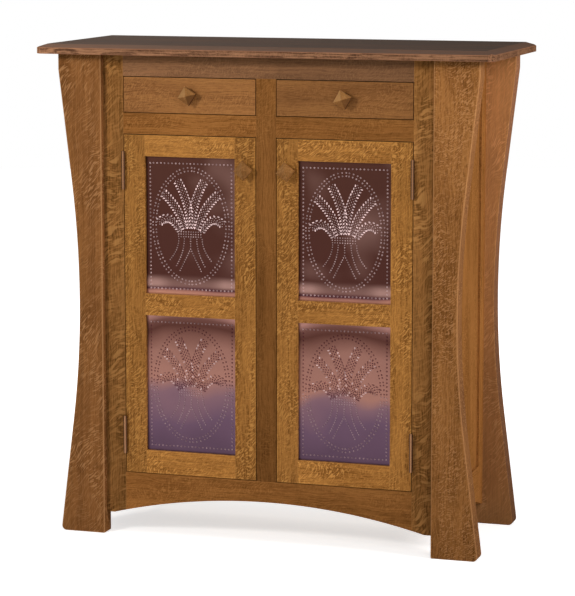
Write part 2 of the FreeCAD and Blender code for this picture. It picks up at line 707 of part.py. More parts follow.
run = ("face_rear", "back_front")
guide_heights = ("drawer_floor", "drawer_floor + guide_height")
guide_start = "drawer_side_outer_high + guide_clearance"
guide = block("outer_guide", (guide_start, guide_start + " + guide_width"), run, guide_heights)
centre_guide = block("centre_guide",
                     ("-drawer_side_inner_low + guide_clearance",
                      "drawer_side_inner_low - guide_clearance"), run, guide_heights)
kicker = block("kicker", ("opening_middle - kicker_width / 2", "opening_middle + kicker_width / 2"),
               run, ("drawer_ceiling", "drawer_ceiling + kicker_height"))
keep("drawer_runners", group("drawer_runners", [
    guide, mirrored("outer_guide_twin", guide), centre_guide,
    kicker, mirrored("kicker_twin", kicker)]))

# ---------------------------------------------------------------- doors
# Two inset doors: stiles, three rails with stub tenons, and two copper sheets that lie in
# rabbets behind the frame under mitred beads.

door = ("face_front", "door_rear")
door_tenon = ("door_tenon_front", "door_tenon_rear")
into_hinge_stile = ("pane_outer", "pane_outer + tenon_length")
into_lock_stile = ("pane_inner - tenon_length", "pane_inner")
panes = {"upper": ("upper_pane_foot", "upper_pane_head"),
         "lower": ("lower_pane_foot", "lower_pane_head")}
door_rails = {"bottom_rail": ("door_foot", "lower_pane_foot"),
              "mid_rail": ("lower_pane_head", "upper_pane_foot"),
              "top_rail": ("upper_pane_head", "door_head")}


def rabbet(foot, head):
    """The space behind the door frame for one copper sheet and its beads."""
    return (("pane_inner - copper_rabbet", "pane_outer + copper_rabbet"),
            ("copper_front", "door_rear"),
            (f"{foot} - copper_rabbet", f"{head} + copper_rabbet"))


rabbets = [rabbet(*pane) for pane in panes.values()]


def rail_tenon(rail):
    return tenon_between(*door_rails[rail])


both_sides("door_hinge_stile", board(
    "door_hinge_stile", ("pane_outer", "door_outer"), door, ("door_foot", "door_head"),
    cuts=rabbets
    + [(into_hinge_stile, door_tenon, rail_tenon(rail)) for rail in door_rails]
    + [(("hinge_axis_x - leaf_gap / 2 - leaf_thickness", "door_outer"),
        ("face_front", "leaf_rear"), pocket_height[2]) for pocket_height in hinge_leaf_pockets]))
both_sides("door_lock_stile", board(
    "door_lock_stile", ("door_inner", "pane_inner"), door, ("door_foot", "door_head"),
    cuts=rabbets + [(into_lock_stile, door_tenon, rail_tenon(rail)) for rail in door_rails]))
for rail, height in door_rails.items():
    both_sides("door_" + rail, board(
        "door_" + rail, ("pane_inner", "pane_outer"), door, height,
        [(into_hinge_stile, door_tenon, rail_tenon(rail)),
         (into_lock_stile, door_tenon, rail_tenon(rail))], rabbets))
for pane, (foot, head) in panes.items():
    both_sides(f"door_{pane}_copper", block(
        f"door_{pane}_copper", ("pane_inner - copper_reach", "pane_outer + copper_reach"),
        ("copper_front", "copper_rear"),
        (f"{foot} - copper_reach", f"{head} + copper_reach")))


def bead(name, plane, ends, far, depth):
    """One mitred bead; the plan is a trapezium from its outer to its inner edge."""
    body = new_body(name)
    place(body, y="copper_rear")
    low, high = ends
    edge, lip = far
    shape = [(low, edge), (high, edge),
             (f"{high} - copper_rabbet", lip), (f"{low} + copper_rabbet", lip)]
    if plane == "upright":
        shape = [(across, up) for up, across in shape]
    pad(body, outline(sketch_on(body, name + "_outline", "XZ_Plane"), shape), depth,
        name + "_pad", turned=True)
    return body


beads = []
for pane, (foot, head) in panes.items():
    frame_low = f"{foot} - copper_rabbet"
    frame_high = f"{head} + copper_rabbet"
    frame_in = "pane_inner - copper_rabbet"
    frame_out = "pane_outer + copper_rabbet"
    beads += [
        bead(f"{pane}_bead_foot", "level", (frame_in, frame_out), (frame_low, foot),
             "bead_thickness"),
        bead(f"{pane}_bead_head", "level", (frame_in, frame_out), (frame_high, head),
             "bead_thickness"),
        bead(f"{pane}_bead_inner", "upright", (frame_low, frame_high),
             (frame_in, "pane_inner"), "bead_thickness"),
        bead(f"{pane}_bead_outer", "upright", (frame_low, frame_high),
             (frame_out, "pane_outer"), "bead_thickness"),
    ]
both_sides("door_beads", group("door_beads", beads))

# ---------------------------------------------------------------- hinges
# Butt hinges with five knuckles. The leaves are let into the stiles' edges, and the barrels
# stand in front of the doors. The frame's leaf has three knuckles, the door's leaf has two.


def hinge_leaf(name, foot, facing, first, count):
    """One leaf: facing is 1 for the frame's leaf and -1 for the door's."""
    body = new_body(name)
    place(body, "hinge_axis_x", "hinge_axis_y", foot)
    near = f"{facing} * leaf_gap / 2"
    far = f"{facing} * (leaf_gap / 2 + leaf_thickness)"
    strip = outline(sketch_on(body, name + "_strip", "XY_Plane"),
                    [(near, "knuckle_radius + knuckle_gap"), (far, "knuckle_radius + knuckle_gap"),
                     (far, "hinge_standoff + leaf_depth"), (near, "hinge_standoff + leaf_depth")])
    pad(body, strip, "hinge_length", name + "_plate")
    start = f"{first} * knuckle_pitch + knuckle_gap / 2"
    web = outline(sketch_on(body, name + "_web", "XY_Plane", start),
                  [(near, "pin_radius + pin_clearance"), (far, "pin_radius + pin_clearance"),
                   (far, "knuckle_radius + 2 * knuckle_gap"),
                   (near, "knuckle_radius + 2 * knuckle_gap")])
    height = "knuckle_pitch - knuckle_gap"
    web_pad = pad(body, web, height, name + "_web_pad")
    ring = circle(sketch_on(body, name + "_ring", "XY_Plane", start), "knuckle_radius")
    ring_pad = pad(body, ring, height, name + "_ring_pad")
    doc.recompute()
    row = body.newObject("PartDesign::LinearPattern", name + "_row")
    row.Originals = [web_pad, ring_pad]
    row.Direction = (ring, ["N_Axis"])
    row.Mode = "Spacing"
    row.Occurrences = count
    bind(row, Offset="2 * knuckle_pitch")
    body.Tip = row
    doc.recompute()
    bore = circle(sketch_on(body, name + "_bore", "XY_Plane"), "pin_radius + pin_clearance")
    pocket(body, bore, "hinge_length", name + "_bore_cut", turned=True)
    return body


def hinge_pin(name, foot):
    """A pin with a low head at each end of the barrel."""
    shaft = doc.addObject("Part::Cylinder", name + "_shaft")
    bind(shaft, Radius="pin_radius", Height="hinge_length")
    place(shaft, "hinge_axis_x", "hinge_axis_y", foot)
    heads = []
    for end, level in (("foot", f"{foot} - pin_head_height"), ("head", f"{foot} + hinge_length")):
        button = doc.addObject("Part::Cylinder", f"{name}_{end}")
        bind(button, Radius="pin_head_radius", Height="pin_head_height")
        place(button, "hinge_axis_x", "hinge_axis_y", level)
        heads.append(button)
    return joined(name, [shaft] + heads)


hinge_feet = {"upper": "upper_hinge_foot", "lower": "lower_hinge_foot"}
frame_leaves = [hinge_leaf(f"{end}_frame_leaf", foot, 1, 0, 3) for end, foot in hinge_feet.items()]
door_leaves = [hinge_leaf(f"{end}_door_leaf", foot, -1, 1, 2) for end, foot in hinge_feet.items()]
pins = [hinge_pin(f"{end}_pin", foot) for end, foot in hinge_feet.items()]
both_sides("door_hinge_leaves", group("door_hinge_leaves", door_leaves))
for name, items in (("frame_hinge_leaves", frame_leaves), ("hinge_pins", pins)):
    twins = [mirrored(item.Name + "_twin", item) for item in items]
    keep(name, group(name, items + twins))

# ---------------------------------------------------------------- knobs
# A square head with a low pyramid on a turned stem. Each is held by one screw from behind, so
# each has come to rest at an angle of its own.


def knob(name, x, z, turn):
    body = new_body(name)
    stem = circle(sketch_on(body, name + "_stem", "XZ_Plane"), "knob_stem_radius")
    pad(body, stem, "knob_stem_length", name + "_stem_pad")
    head = rectangle(sketch_on(body, name + "_head", "XZ_Plane", "knob_stem_length"),
                     "knob_width / 2", "knob_width / 2")
    pad(body, head, "knob_edge", name + "_head_pad")
    pyramid = body.newObject("PartDesign::AdditiveWedge", name + "_pyramid")
    bind(pyramid, Ymin="-knob_stem_length - knob_edge - knob_peak",
         Xmin="-knob_tip / 2", Zmin="-knob_tip / 2", Xmax="knob_tip / 2", Zmax="knob_tip / 2",
         Ymax="-knob_stem_length - knob_edge",
         X2min="-knob_width / 2", Z2min="-knob_width / 2",
         X2max="knob_width / 2", Z2max="knob_width / 2")
    body.Tip = pyramid
    body.Placement = Placement(Vector(0, 0, 0), Rotation(Vector(0, 1, 0), turn))
    place(body, x, "face_front", z)
    return body


for hand, way in (("left", "-"), ("right", "")):
    keep(f"{hand}_drawer_knob", knob(f"{hand}_drawer_knob", way + "opening_middle",
                                     "(drawer_foot + drawer_head) / 2", DRAWER_KNOB_TURNS[hand]))
    keep(f"{hand}_door_knob", knob(f"{hand}_door_knob",
                                   f"{way}(door_inner + pane_inner) / 2",
                                   "door_head - knob_drop", DOOR_KNOB_TURNS[hand]))

# ---------------------------------------------------------------- drawers
# Inset fronts, sides half-blind dovetailed into them, a back between the sides and a thin
# bottom in grooves.


def drawer_side(name, x):
    """A side board with dovetails at its front end."""
    body = new_body(name)
    place(body, x, "drawer_front_rear", "drawer_side_foot")
    points = [("drawer_rear - drawer_front_rear", "0"),
              ("drawer_rear - drawer_front_rear", "drawer_side_height"),
              ("0", "drawer_side_height")]
    for tail in reversed(range(DOVETAILS)):
        middle = f"({tail} + 0.5) * dovetail_pitch"
        points += [("0", f"{middle} + dovetail_root / 2"),
                   ("-dovetail_length", f"{middle} + dovetail_root / 2 + dovetail_flare"),
                   ("-dovetail_length", f"{middle} - dovetail_root / 2 - dovetail_flare"),
                   ("0", f"{middle} - dovetail_root / 2")]
    points.append(("0", "0"))
    pad(body, outline(sketch_on(body, name + "_outline", "YZ_Plane"), points),
        "drawer_side_thickness", name + "_pad")
    return body


bottom = block("drawer_bottom",
               ("drawer_side_inner_high - drawer_groove", "drawer_side_outer_low + drawer_groove"),
               ("drawer_front_rear - drawer_groove", "drawer_rear"),
               ("drawer_bottom_foot", "drawer_bottom_head"))
side_blanks = [drawer_side("drawer_inner_side", "drawer_side_inner_low"),
               drawer_side("drawer_outer_side", "drawer_side_outer_low")]
drawer_face = less("drawer_face", block("drawer_face_blank", ("door_inner", "door_outer"),
                                        ("face_front", "drawer_front_rear"),
                                        ("drawer_foot", "drawer_head")), side_blanks + [bottom])
drawer_sides = [less(blank.Name + "_grooved", blank, [bottom]) for blank in side_blanks]
drawer_back = block("drawer_back", ("drawer_side_inner_high", "drawer_side_outer_low"),
                    ("drawer_rear - drawer_side_thickness", "drawer_rear"),
                    ("drawer_bottom_head", "drawer_side_head"))
both_sides("drawer_front", drawer_face)
both_sides("drawer_box", group("drawer_box", drawer_sides + [drawer_back]))
both_sides("drawer_bottom", bottom)

# ---------------------------------------------------------------- check and write

doc.recompute()
failed = [item.Label for item in doc.Objects if {"Invalid", "Error"} & set(item.State)]
failed += [name for name, item in nodes.items()
           if item.Shape.isNull() or not item.Shape.isValid() or not item.Shape.Solids]
if failed:
    raise ValueError("these objects failed: " + ", ".join(failed))

os.makedirs("parts", exist_ok=True)
for name, item in nodes.items():
    item.Shape.exportStep(f"parts/{name}.step")
whole = FreeCAD.BoundBox()
for item in nodes.values():
    whole.add(item.Shape.BoundBox)
solids = sum(len(item.Shape.Solids) for item in nodes.values())
print(f"{len(nodes)} nodes, {solids} solids")
print(f"{whole.XLength:.1f} x {whole.YLength:.1f} x {whole.ZLength:.1f} mm")
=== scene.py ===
"""An oak pie safe: flared legs, framed sides, two drawers and two doors with punched copper.

Everything is in metres. The doors and drawers face -Y and +Z is up.
"""
import json
from itertools import count
from math import cos, pi, radians, sin

import bmesh
import bpy
from mathutils import Matrix, Vector, noise

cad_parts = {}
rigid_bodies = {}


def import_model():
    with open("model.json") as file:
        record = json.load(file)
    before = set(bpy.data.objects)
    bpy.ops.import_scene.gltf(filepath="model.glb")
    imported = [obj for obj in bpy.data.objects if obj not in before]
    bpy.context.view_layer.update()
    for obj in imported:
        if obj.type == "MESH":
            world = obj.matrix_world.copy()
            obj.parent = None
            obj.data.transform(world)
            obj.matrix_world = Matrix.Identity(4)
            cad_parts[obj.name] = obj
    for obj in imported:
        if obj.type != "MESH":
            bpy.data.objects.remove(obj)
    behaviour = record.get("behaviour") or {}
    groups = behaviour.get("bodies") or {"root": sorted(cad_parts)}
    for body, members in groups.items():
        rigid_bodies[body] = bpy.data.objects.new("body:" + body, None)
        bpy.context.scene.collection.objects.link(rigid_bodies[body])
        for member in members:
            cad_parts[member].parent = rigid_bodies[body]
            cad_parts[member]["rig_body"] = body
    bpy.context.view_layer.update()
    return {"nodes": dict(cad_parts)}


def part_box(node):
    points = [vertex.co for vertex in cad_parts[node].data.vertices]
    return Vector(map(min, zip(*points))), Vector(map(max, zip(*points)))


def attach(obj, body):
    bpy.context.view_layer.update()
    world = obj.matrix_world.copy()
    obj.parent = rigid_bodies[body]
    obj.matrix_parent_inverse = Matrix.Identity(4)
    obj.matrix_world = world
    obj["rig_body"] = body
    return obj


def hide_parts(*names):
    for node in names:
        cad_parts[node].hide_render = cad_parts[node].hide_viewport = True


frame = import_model()


# --- Camera ---------------------------------------------------------------------------------
# A long lens a little above the top board, to the right of the doors, held level enough that
# the legs stay upright; the frame is shifted down to take in the feet.
camera = bpy.data.objects.new("camera", bpy.data.cameras.new("camera"))
camera.data.sensor_width = 36
camera.data.lens = 154.65
camera.data.shift_y = -60 / 596
camera.data.clip_end = 300
camera.location = (1.9055, -6.0039, 1.5508)
camera.rotation_euler = (radians(90 - 7.38), 0, radians(17.625))
bpy.context.scene.collection.objects.link(camera)
bpy.context.scene.camera = camera


# --- Studio ---------------------------------------------------------------------------------
# A white room with a pale floor that glows white away from the cupboard. The key lamp hangs
# high at the left, a broad one fills from the right of the camera, a third one lights the
# cupboard's right end, and a fourth its back.
bpy.context.scene.view_settings.view_transform = "Standard"


class Signal:
    """One output of a node. Python's sums on signals add Math nodes to their finish."""

    def __init__(self, finish, socket):
        self.finish, self.socket = finish, socket

    def maths(self, operation, *terms):
        return self.finish.add("Math", {"operation": operation}, dict(enumerate(terms)))

    def __add__(self, other):
        return self.maths("ADD", self, other)

    def __sub__(self, other):
        return self.maths("SUBTRACT", self, other)

    def __rsub__(self, other):
        return self.maths("SUBTRACT", other, self)

    def __mul__(self, other):
        return self.maths("MULTIPLY", self, other)

    __radd__, __rmul__ = __add__, __mul__

    def step(self, low, high):
        """0 below low, 1 above high, and a soft step between."""
        return self.finish.add("MapRange", {"interpolation_type": "SMOOTHSTEP"},
                               {"Value": self, "From Min": low, "From Max": high})


class Finish:
    """The node tree of a material or of the room, filled by add."""

    def __init__(self, owner):
        owner.use_nodes = True
        self.owner, self.tree = owner, owner.node_tree
        self.tree.nodes.clear()

    def add(self, kind, settings=(), sockets=(), output=0):
        """Makes a node, sets it, then fills its sockets with values or signals."""
        node = self.tree.nodes.new("ShaderNode" + kind)
        for name, value in dict(settings).items():
            if name == "stops":
                (start, node.color_ramp.elements[0].color), *between, (end, last) = value
                node.color_ramp.elements[0].position = start
                node.color_ramp.elements[1].position = end
                node.color_ramp.elements[1].color = last
                for position, colour in between:
                    node.color_ramp.elements.new(position).color = colour
            else:
                setattr(node, name, value)
        for name, value in dict(sockets).items():
            if isinstance(value, Signal):
                self.tree.links.new(value.socket, node.inputs[name])
            else:
                node.inputs[name].default_value = value
        return Signal(self, node.outputs[output]) if node.outputs else node

    def mix(self, factor, first, second):
        """Turns the first colour into the second as the factor goes from 0 to 1."""
        return self.add("Mix", {"data_type": "RGBA"}, {0: factor, 6: first, 7: second}, 2)

    def looked_at(self):
        """1 for the rays that show the room itself, 0 for those that carry its light."""
        seen, mirrored = (self.add("LightPath", output=f"Is {use} Ray")
                          for use in ("Camera", "Glossy"))
        return seen.maths("MAXIMUM", seen, mirrored)


def paint(red, green, blue):
    """A colour from its 0 to 255 values on a screen, made linear."""
    linear = [(c / 255 / 12.92 if c < 11 else ((c / 255 + 0.055) / 1.055) ** 2.4)
              for c in (red, green, blue)]
    return (*linear, 1)


room = Finish(bpy.data.worlds.new("room"))
bpy.context.scene.world = room.owner
room.add("OutputWorld", {}, {"Surface": room.add("MixShader", {}, {
    0: room.looked_at(),
    1: room.add("Background", {}, {"Color": paint(226, 232, 240), "Strength": 0.27}),
    2: room.add("Background", {}, {"Color": (1, 1, 1, 1), "Strength": 1.0})})})

pale = Finish(bpy.data.materials.new("pale_floor"))
distance = pale.add("VectorMath", {"operation": "LENGTH"},
                    {0: pale.add("TexCoord", output="Object")}, "Value")
near_glow = 0.62
glow = pale.looked_at() * (near_glow + (1 - near_glow) * distance.step(0.8, 1.8))
pale.add("OutputMaterial", {}, {"Surface": pale.add("AddShader", {}, {
    0: pale.add("BsdfDiffuse", {}, {"Color": paint(240, 240, 240)}),
    1: pale.add("Emission", {}, {"Color": glow, "Strength": 1.0})})})
shape = bmesh.new()
bmesh.ops.create_circle(shape, cap_ends=True, segments=64, radius=9)
floor = bpy.data.objects.new("floor", bpy.data.meshes.new("floor"))
shape.to_mesh(floor.data)
floor.data.materials.append(pale.owner)
bpy.context.scene.collection.objects.link(floor)


def soft_lamp(name, place, aim, width, height, power, colour):
    """A rectangular lamp of width by height metres that shines from place towards aim."""
    lamp = bpy.data.objects.new(name, bpy.data.lights.new(name, "AREA"))
    lamp.data.shape, lamp.data.size, lamp.data.size_y = "RECTANGLE", width, height
    lamp.data.energy, lamp.data.color = power, colour
    lamp.location = place
    lamp.rotation_euler = (Vector(aim) - Vector(place)).to_track_quat("-Z", "Y").to_euler()
    bpy.context.scene.collection.objects.link(lamp)


soft_lamp("key_lamp", (-1.9, -2.9, 2.1), (0, 0, 0.8), 0.6, 0.5, 54, (1.0, 0.97, 0.93))
soft_lamp("fill_lamp", (1.9, -2.6, 2.1), (0.2, 0, 0.8), 1.4, 1.0, 20, (1.0, 0.96, 0.93))
soft_lamp("side_lamp", (3.2, -0.6, 1.9), (0.5, 0, 0.8), 0.8, 1.0, 54, (1.0, 0.95, 0.92))
soft_lamp("back_lamp", (-0.9, 3.4, 2.1), (0, 0, 0.8), 1.4, 1.0, 40, (1.0, 0.95, 0.9))


# --- Top board ------------------------------------------------------------------------------
# One wide board of quartersawn oak, stained and lacquered. Its level face is painted dark grey
# as a painted reflection, and its bevel lighter as a painted highlight. Its upper arris is
# bevelled, its corners are clipped, and it lies on the case and the leg tops.
def oak(name, pale_wood, dark_wood, fleck, flecks=0.5, long=0.003, wide=0.012, slant=0.5,
        rings=0.25, strokes=0.5, gloss=0.42, sheen=0.08, shadow_colour=paint(126, 88, 66), level_reflection=None):
    """Quartersawn oak: straight rings, short dark pores and the rays that cross them.

    A ray is a fleck that is long and wide in metres and lies aslant. Worn arrises and painted
    highlights turn the wood towards the fleck's colour, and painted shade towards the shadow
    colour.
    """
    wood = Finish(bpy.data.materials.new(name))
    grain = wood.add("Attribute", {"attribute_name": "grain"}, output="Vector")
    tone = wood.add("Attribute", {"attribute_name": "tone"}, output="Fac")
    worn = wood.add("Attribute", {"attribute_name": "worn"}, output="Fac")

    def cells(spot, along, across, through, detail=1.0, output="Fac"):
        """A pattern of soft cells of this size in metres."""
        spot = wood.add("VectorMath", {"operation": "MULTIPLY"},
                        {0: spot, 1: (1 / along, 1 / across, 1 / through)})
        return wood.add("TexNoise", {}, {"Vector": spot, "Scale": 1.0, "Detail": detail},
                        output)

    # The rays wander: the board is bent by a slow drift before they are drawn on it.
    drift = cells(grain, 0.11, 0.06, 0.05, 1.0, "Color")
    drift = wood.add("VectorMath", {"operation": "MULTIPLY_ADD"},
                     {0: drift, 1: (0.07, 0.02, 0.0), 2: grain})
    turned = wood.add("Mapping", {"vector_type": "POINT"},
                      {"Vector": drift, "Rotation": (0, 0, slant)})
    rays = cells(turned, long, wide, 0.01, 1.5)
    crowded = 0.3 + 0.7 * cells(grain, 0.14, 0.05, 0.1).step(0.4, 0.58)
    shine = rays.step(0.52, 0.62) * crowded
    rim = (rays.step(0.38, 0.46) - rays.step(0.46, 0.54)) * crowded

    ring = cells(drift, 0.5, 0.003, 0.004, 2.0).step(0.38, 0.62)
    stroke = cells(drift, 0.02, 0.0017, 0.002).step(0.5, 0.62)
    pore = cells(grain, 0.009, 0.0005, 0.0005).step(0.55, 0.68)
    cloud = cells(grain, 0.22, 0.05, 0.2, 2.0).step(0.3, 0.7)

    shade = (ring * rings + cloud * 0.3 + stroke * (0.7 * strokes) + pore * 0.18
             + rim * (0.7 * flecks))
    colour = wood.mix(shade, pale_wood, dark_wood)
    colour = wood.mix(shine * flecks, colour, fleck)
    colour = wood.mix(worn * 0.5, colour, fleck)
    colour = wood.mix(0 - worn, colour, shadow_colour)
    if level_reflection:
        # Painted light: what faces up a little, the bevel, is painted lighter as a painted
        # highlight, and what lies level is painted grey as a painted reflection.
        normal = wood.add("NewGeometry", output="Normal")
        upward = wood.add("SeparateXYZ", {}, {"Vector": normal}, "Z")
        facing = upward * upward
        colour = wood.mix(facing.step(0.05, 0.3) * 0.6, colour, fleck)
        colour = wood.mix(facing.step(0.7, 1.0) * (0.9 - ring * 0.3), colour, level_reflection)
    level = wood.add("VectorMath", {"operation": "SCALE"}, {0: colour, "Scale": tone + 1.0})
    relief = wood.add("Bump", {}, {"Strength": 0.4, "Distance": 0.0003,
                                   "Height": shine * 0.4 - pore - stroke * 0.6}, "Normal")
    wood.add("OutputMaterial", {}, {"Surface": wood.add("BsdfPrincipled", {}, {
        "Base Color": level, "Roughness": gloss + pore * 0.2 - shine * 0.08,
        "Normal": relief, "Specular IOR Level": sheen})})
    return wood.owner


boards = count(1)


def islands(mesh):
    """The separate solids of a bmesh, each as a list of its vertices."""
    left = set(mesh.verts)
    while left:
        found, reach = [], [left.pop()]
        while reach:
            vert = reach.pop()
            found.append(vert)
            new = {edge.other_vert(vert) for edge in vert.link_edges} & left
            left -= new
            reach.extend(new)
        yield found


def lay_grain(mesh, tone, trend):
    """Runs the grain along each board's longest side, from its own place in the log.

    Each board is also a little lighter or darker than the others by its number.
    """
    grain = mesh.verts.layers.float_vector.new("grain")
    tint = mesh.verts.layers.float.new("tone")
    for solid in sorted(islands(mesh), key=lambda verts: min(tuple(v.co) for v in verts)):
        low = Vector(min(v.co[i] for v in solid) for i in range(3))
        high = Vector(max(v.co[i] for v in solid) for i in range(3))
        along, across, through = sorted(range(3), key=lambda i: low[i] - high[i])
        number = next(boards)
        start = Vector((1.31 * number, 0.57 * number, 0.83 * number))
        own = tone + 0.05 * sin(7.3 * number)
        for vert in solid:
            place = vert.co - (low + high) / 2
            vert[grain] = Vector((place[along], place[across], place[through])) + start
            # The trend adds a gradient painted across the board, which stands for light and
            # shade on the stiles and legs.
            vert[tint] = own + place.x * trend[0] + place.z * trend[1]


def finished(name, mesh, material, node):
    """Turns a bmesh into a piece that stands for a CAD node and rides on its body."""
    piece = bpy.data.objects.new(name, bpy.data.meshes.new(name))
    mesh.to_mesh(piece.data)
    mesh.free()
    piece.data.materials.append(material)
    bpy.context.scene.collection.objects.link(piece)
    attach(piece, frame["nodes"][node]["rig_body"])
    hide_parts(node)


def dressed(node, material, arris=0.0008, tone=0.0, trend=(0, 0), paint_light=None):
    """A copy of a CAD node whose outer arrises are eased, with its own run of grain.

    The tone is a lightening, and the trend its change for a metre of width and of height,
    which paints gradients of light and shade across the stiles and legs. An eased arris gets
    1, wear and a painted highlight at once, and the function given for painted light gives any
    face its painted light and shade.
    """
    flat, curved, sharp = radians(0.05), radians(15), radians(25)
    mesh = bmesh.new()
    mesh.from_mesh(frame["nodes"][node].data)
    bmesh.ops.remove_doubles(mesh, verts=mesh.verts, dist=1e-6)
    bmesh.ops.dissolve_limit(mesh, angle_limit=flat, verts=mesh.verts, edges=mesh.edges)
    lay_grain(mesh, tone, trend)
    worn = mesh.faces.layers.float.new("worn")
    if arris:
        outer = [edge for edge in mesh.edges if edge.is_manifold and edge.is_convex
                 and edge.calc_face_angle() > sharp]
        eased = bmesh.ops.bevel(mesh, geom=outer, offset=arris, offset_type="OFFSET",
                                segments=2, profile=0.5, affect="EDGES", material=-1,
                                clamp_overlap=True)
        # Eased arrises are painted lighter: wear, and a painted highlight along the arris.
        for face in eased["faces"]:
            face[worn] = 1
    if paint_light:
        for face in mesh.faces:
            face[worn] = paint_light(face, face[worn])
    for face in mesh.faces:
        face.smooth = any(flat < edge.calc_face_angle(0) < curved for edge in face.edges)
    for edge in mesh.edges:
        edge.smooth = edge.calc_face_angle(0) < curved
    finished(node + "_looks", mesh, material, node)


top_oak = oak("top_oak", paint(176, 128, 94), paint(76, 50, 36), paint(178, 124, 92),
              flecks=0.2, rings=0.6, strokes=0.25, sheen=0, level_reflection=paint(90, 90, 87))
dressed("top_board", top_oak, arris=0.001, tone=-0.01, trend=(-0.5, 0))


# --- Legs -----------------------------------------------------------------------------------
# Four broad planks, sawn to a long hollow curve and screwed from inside to the face frame and
# the side frames. Their outer arrises are rounded over by hand.
leg_oak = oak("leg_oak", paint(162, 110, 60), paint(96, 58, 26), paint(184, 134, 88),
              flecks=0.5, long=0.0026, wide=0.009, slant=0.6, sheen=0)
ray_oak = oak("ray_oak", paint(154, 103, 58), paint(94, 57, 28), paint(196, 146, 98),
              flecks=0.45, long=0.0026, wide=0.022, slant=0.85, strokes=0.3, sheen=0,
              shadow_colour=paint(96, 68, 58))


def leg_light_and_shade(face, worn):
    """Painted shade darkens the outer edges, the back legs' most, and painted light makes the
    back legs' fronts paler.
    """
    dark, darker, front_light = -0.3, -0.55, 0.5
    x, y, _ = face.calc_center_median()
    outer_edge, at_back = face.normal.x * x > 0.5 * abs(x), y > 0
    if outer_edge and (at_back or not worn):
        return darker if at_back else dark
    if at_back and face.normal.y < -0.9:
        return front_light
    return worn


# Each leg is painted lighter towards its top, a painted falloff of light, and the back right
# leg is painted lighter still as painted light.
for node, wood, tone, light_fall in (
        ("front_left_leg", ray_oak, -0.05, 0.1), ("front_right_leg", leg_oak, 0.05, 0.3),
        ("back_left_leg", leg_oak, 0, 0), ("back_right_leg", ray_oak, 0.3, 0.8)):
    dressed(node, wood, arris=0.0025, tone=tone, trend=(0, light_fall), paint_light=leg_light_and_shade)


# --- Face frame -----------------------------------------------------------------------------
# Stiles and rails tenoned together, with an arch sawn through the lowest rail and the feet of
# its stiles. The stiles show the broadest figure.
frame_oak = oak("frame_oak", paint(156, 104, 54), paint(96, 58, 24), paint(166, 114, 62),
                flecks=0.3, strokes=0.4, sheen=0)
flame_oak = oak("flame_oak", paint(166, 114, 62), paint(98, 64, 30), paint(182, 132, 76),
                flecks=0.6, long=0.007, wide=0.034, slant=0.5, sheen=0)
# The stiles are painted lighter towards the top as a painted falloff of light, and the right
# stile darker towards its right edge as the painted shadow of the right leg.
dressed("left_stile", flame_oak, tone=-0.06, trend=(0, 0.25))
dressed("right_stile", flame_oak, tone=-0.08, trend=(-8, 0.35))
for node, tone, trend in (("centre_stile", -0.22, (0, 0.3)), ("left_mid_rail", 0.25, (0, 0)),
                          ("right_mid_rail", 0.1, (0, 0)), ("arched_apron", 0.16, (-0.5, 0))):
    dressed(node, frame_oak, arris=0.0005, tone=tone, trend=trend)
rail_oak = oak("rail_oak", paint(178, 126, 84), paint(108, 72, 46), paint(188, 138, 94),
               flecks=0.3, strokes=0.3)
dressed("top_rail", rail_oak, arris=0.0005, tone=-0.28, trend=(-0.35, 0))


# --- Side frames ----------------------------------------------------------------------------
# A thin oak panel floats in a grooved frame on each side. The lowest rail of the frame is sawn
# to an arch, and the frame is tenoned together like the front one.
for hand in ("left", "right"):
    for part in ("panel", "front_stile", "back_stile", "top_rail", "apron"):
        dressed(f"{hand}_side_{part}", frame_oak, arris=0.0005, tone=0.2)


# --- Back and inside boards -----------------------------------------------------------------
# Plain oak boards without stain: the back boards are nailed to the case, the floor, shelf and
# deck lie on cleats, and the drawers run between glued guides.
inner_wood = oak("inner_wood", paint(196, 160, 114), paint(166, 128, 84), paint(206, 176, 132),
                 flecks=0.3, gloss=0.55)
for node in ("cupboard_floor", "shelf", "drawer_deck", "cleats", "drawer_runners",
             "door_stop"):
    dressed(node, inner_wood, arris=0.0005)
dressed("back_boards", inner_wood, arris=0)


# --- Doors ----------------------------------------------------------------------------------
# Frames of golden quartersawn oak, tenoned together and rabbeted at the back for two copper
# sheets each, which mitred beads hold in.
door_oak = oak("door_oak", paint(192, 132, 64), paint(114, 70, 24), paint(208, 150, 78),
               flecks=0.7, long=0.0034, wide=0.013, slant=0.7)
for hand, tones in (("left", (-0.13, -0.05, 0.05, -0.04, 0.08)),
                    ("right", (0.05, -0.11, 0.0, -0.08, 0.06))):
    for part, tone in zip(("hinge_stile", "lock_stile", "top_rail", "mid_rail", "bottom_rail"),
                          tones):
        dressed(f"{hand}_door_{part}", door_oak, arris=0.0006, tone=tone)
    dressed(f"{hand}_door_beads", inner_wood, arris=0)


# --- Copper sheets --------------------------------------------------------------------------
# Thin antiqued copper, a little wavy, in each opening of the doors. A border, an oval and a
# tied sheaf of wheat, the usual country pattern, are punched through from behind: each mark is
# a burr with a hole in its head, and a dimple on the back.
copper = Finish(bpy.data.materials.new("antique_copper"))
sheet_place = copper.add("Attribute", {"attribute_name": "sheet"}, output="Vector")
sideways, height, lower = (copper.add("SeparateXYZ", {}, {"Vector": sheet_place}, axis)
                           for axis in "XYZ")
stain = copper.add("Attribute", {"attribute_name": "stain"}, output="Fac")
room_place = copper.add("TexCoord", output="Object")
cloud = copper.add("TexNoise", {}, {"Vector": room_place, "Scale": 8.0, "Detail": 1.0}) - 0.5
grime = copper.add("TexNoise", {}, {"Vector": room_place, "Scale": 160.0, "Detail": 3.0})
outward = sideways * sideways

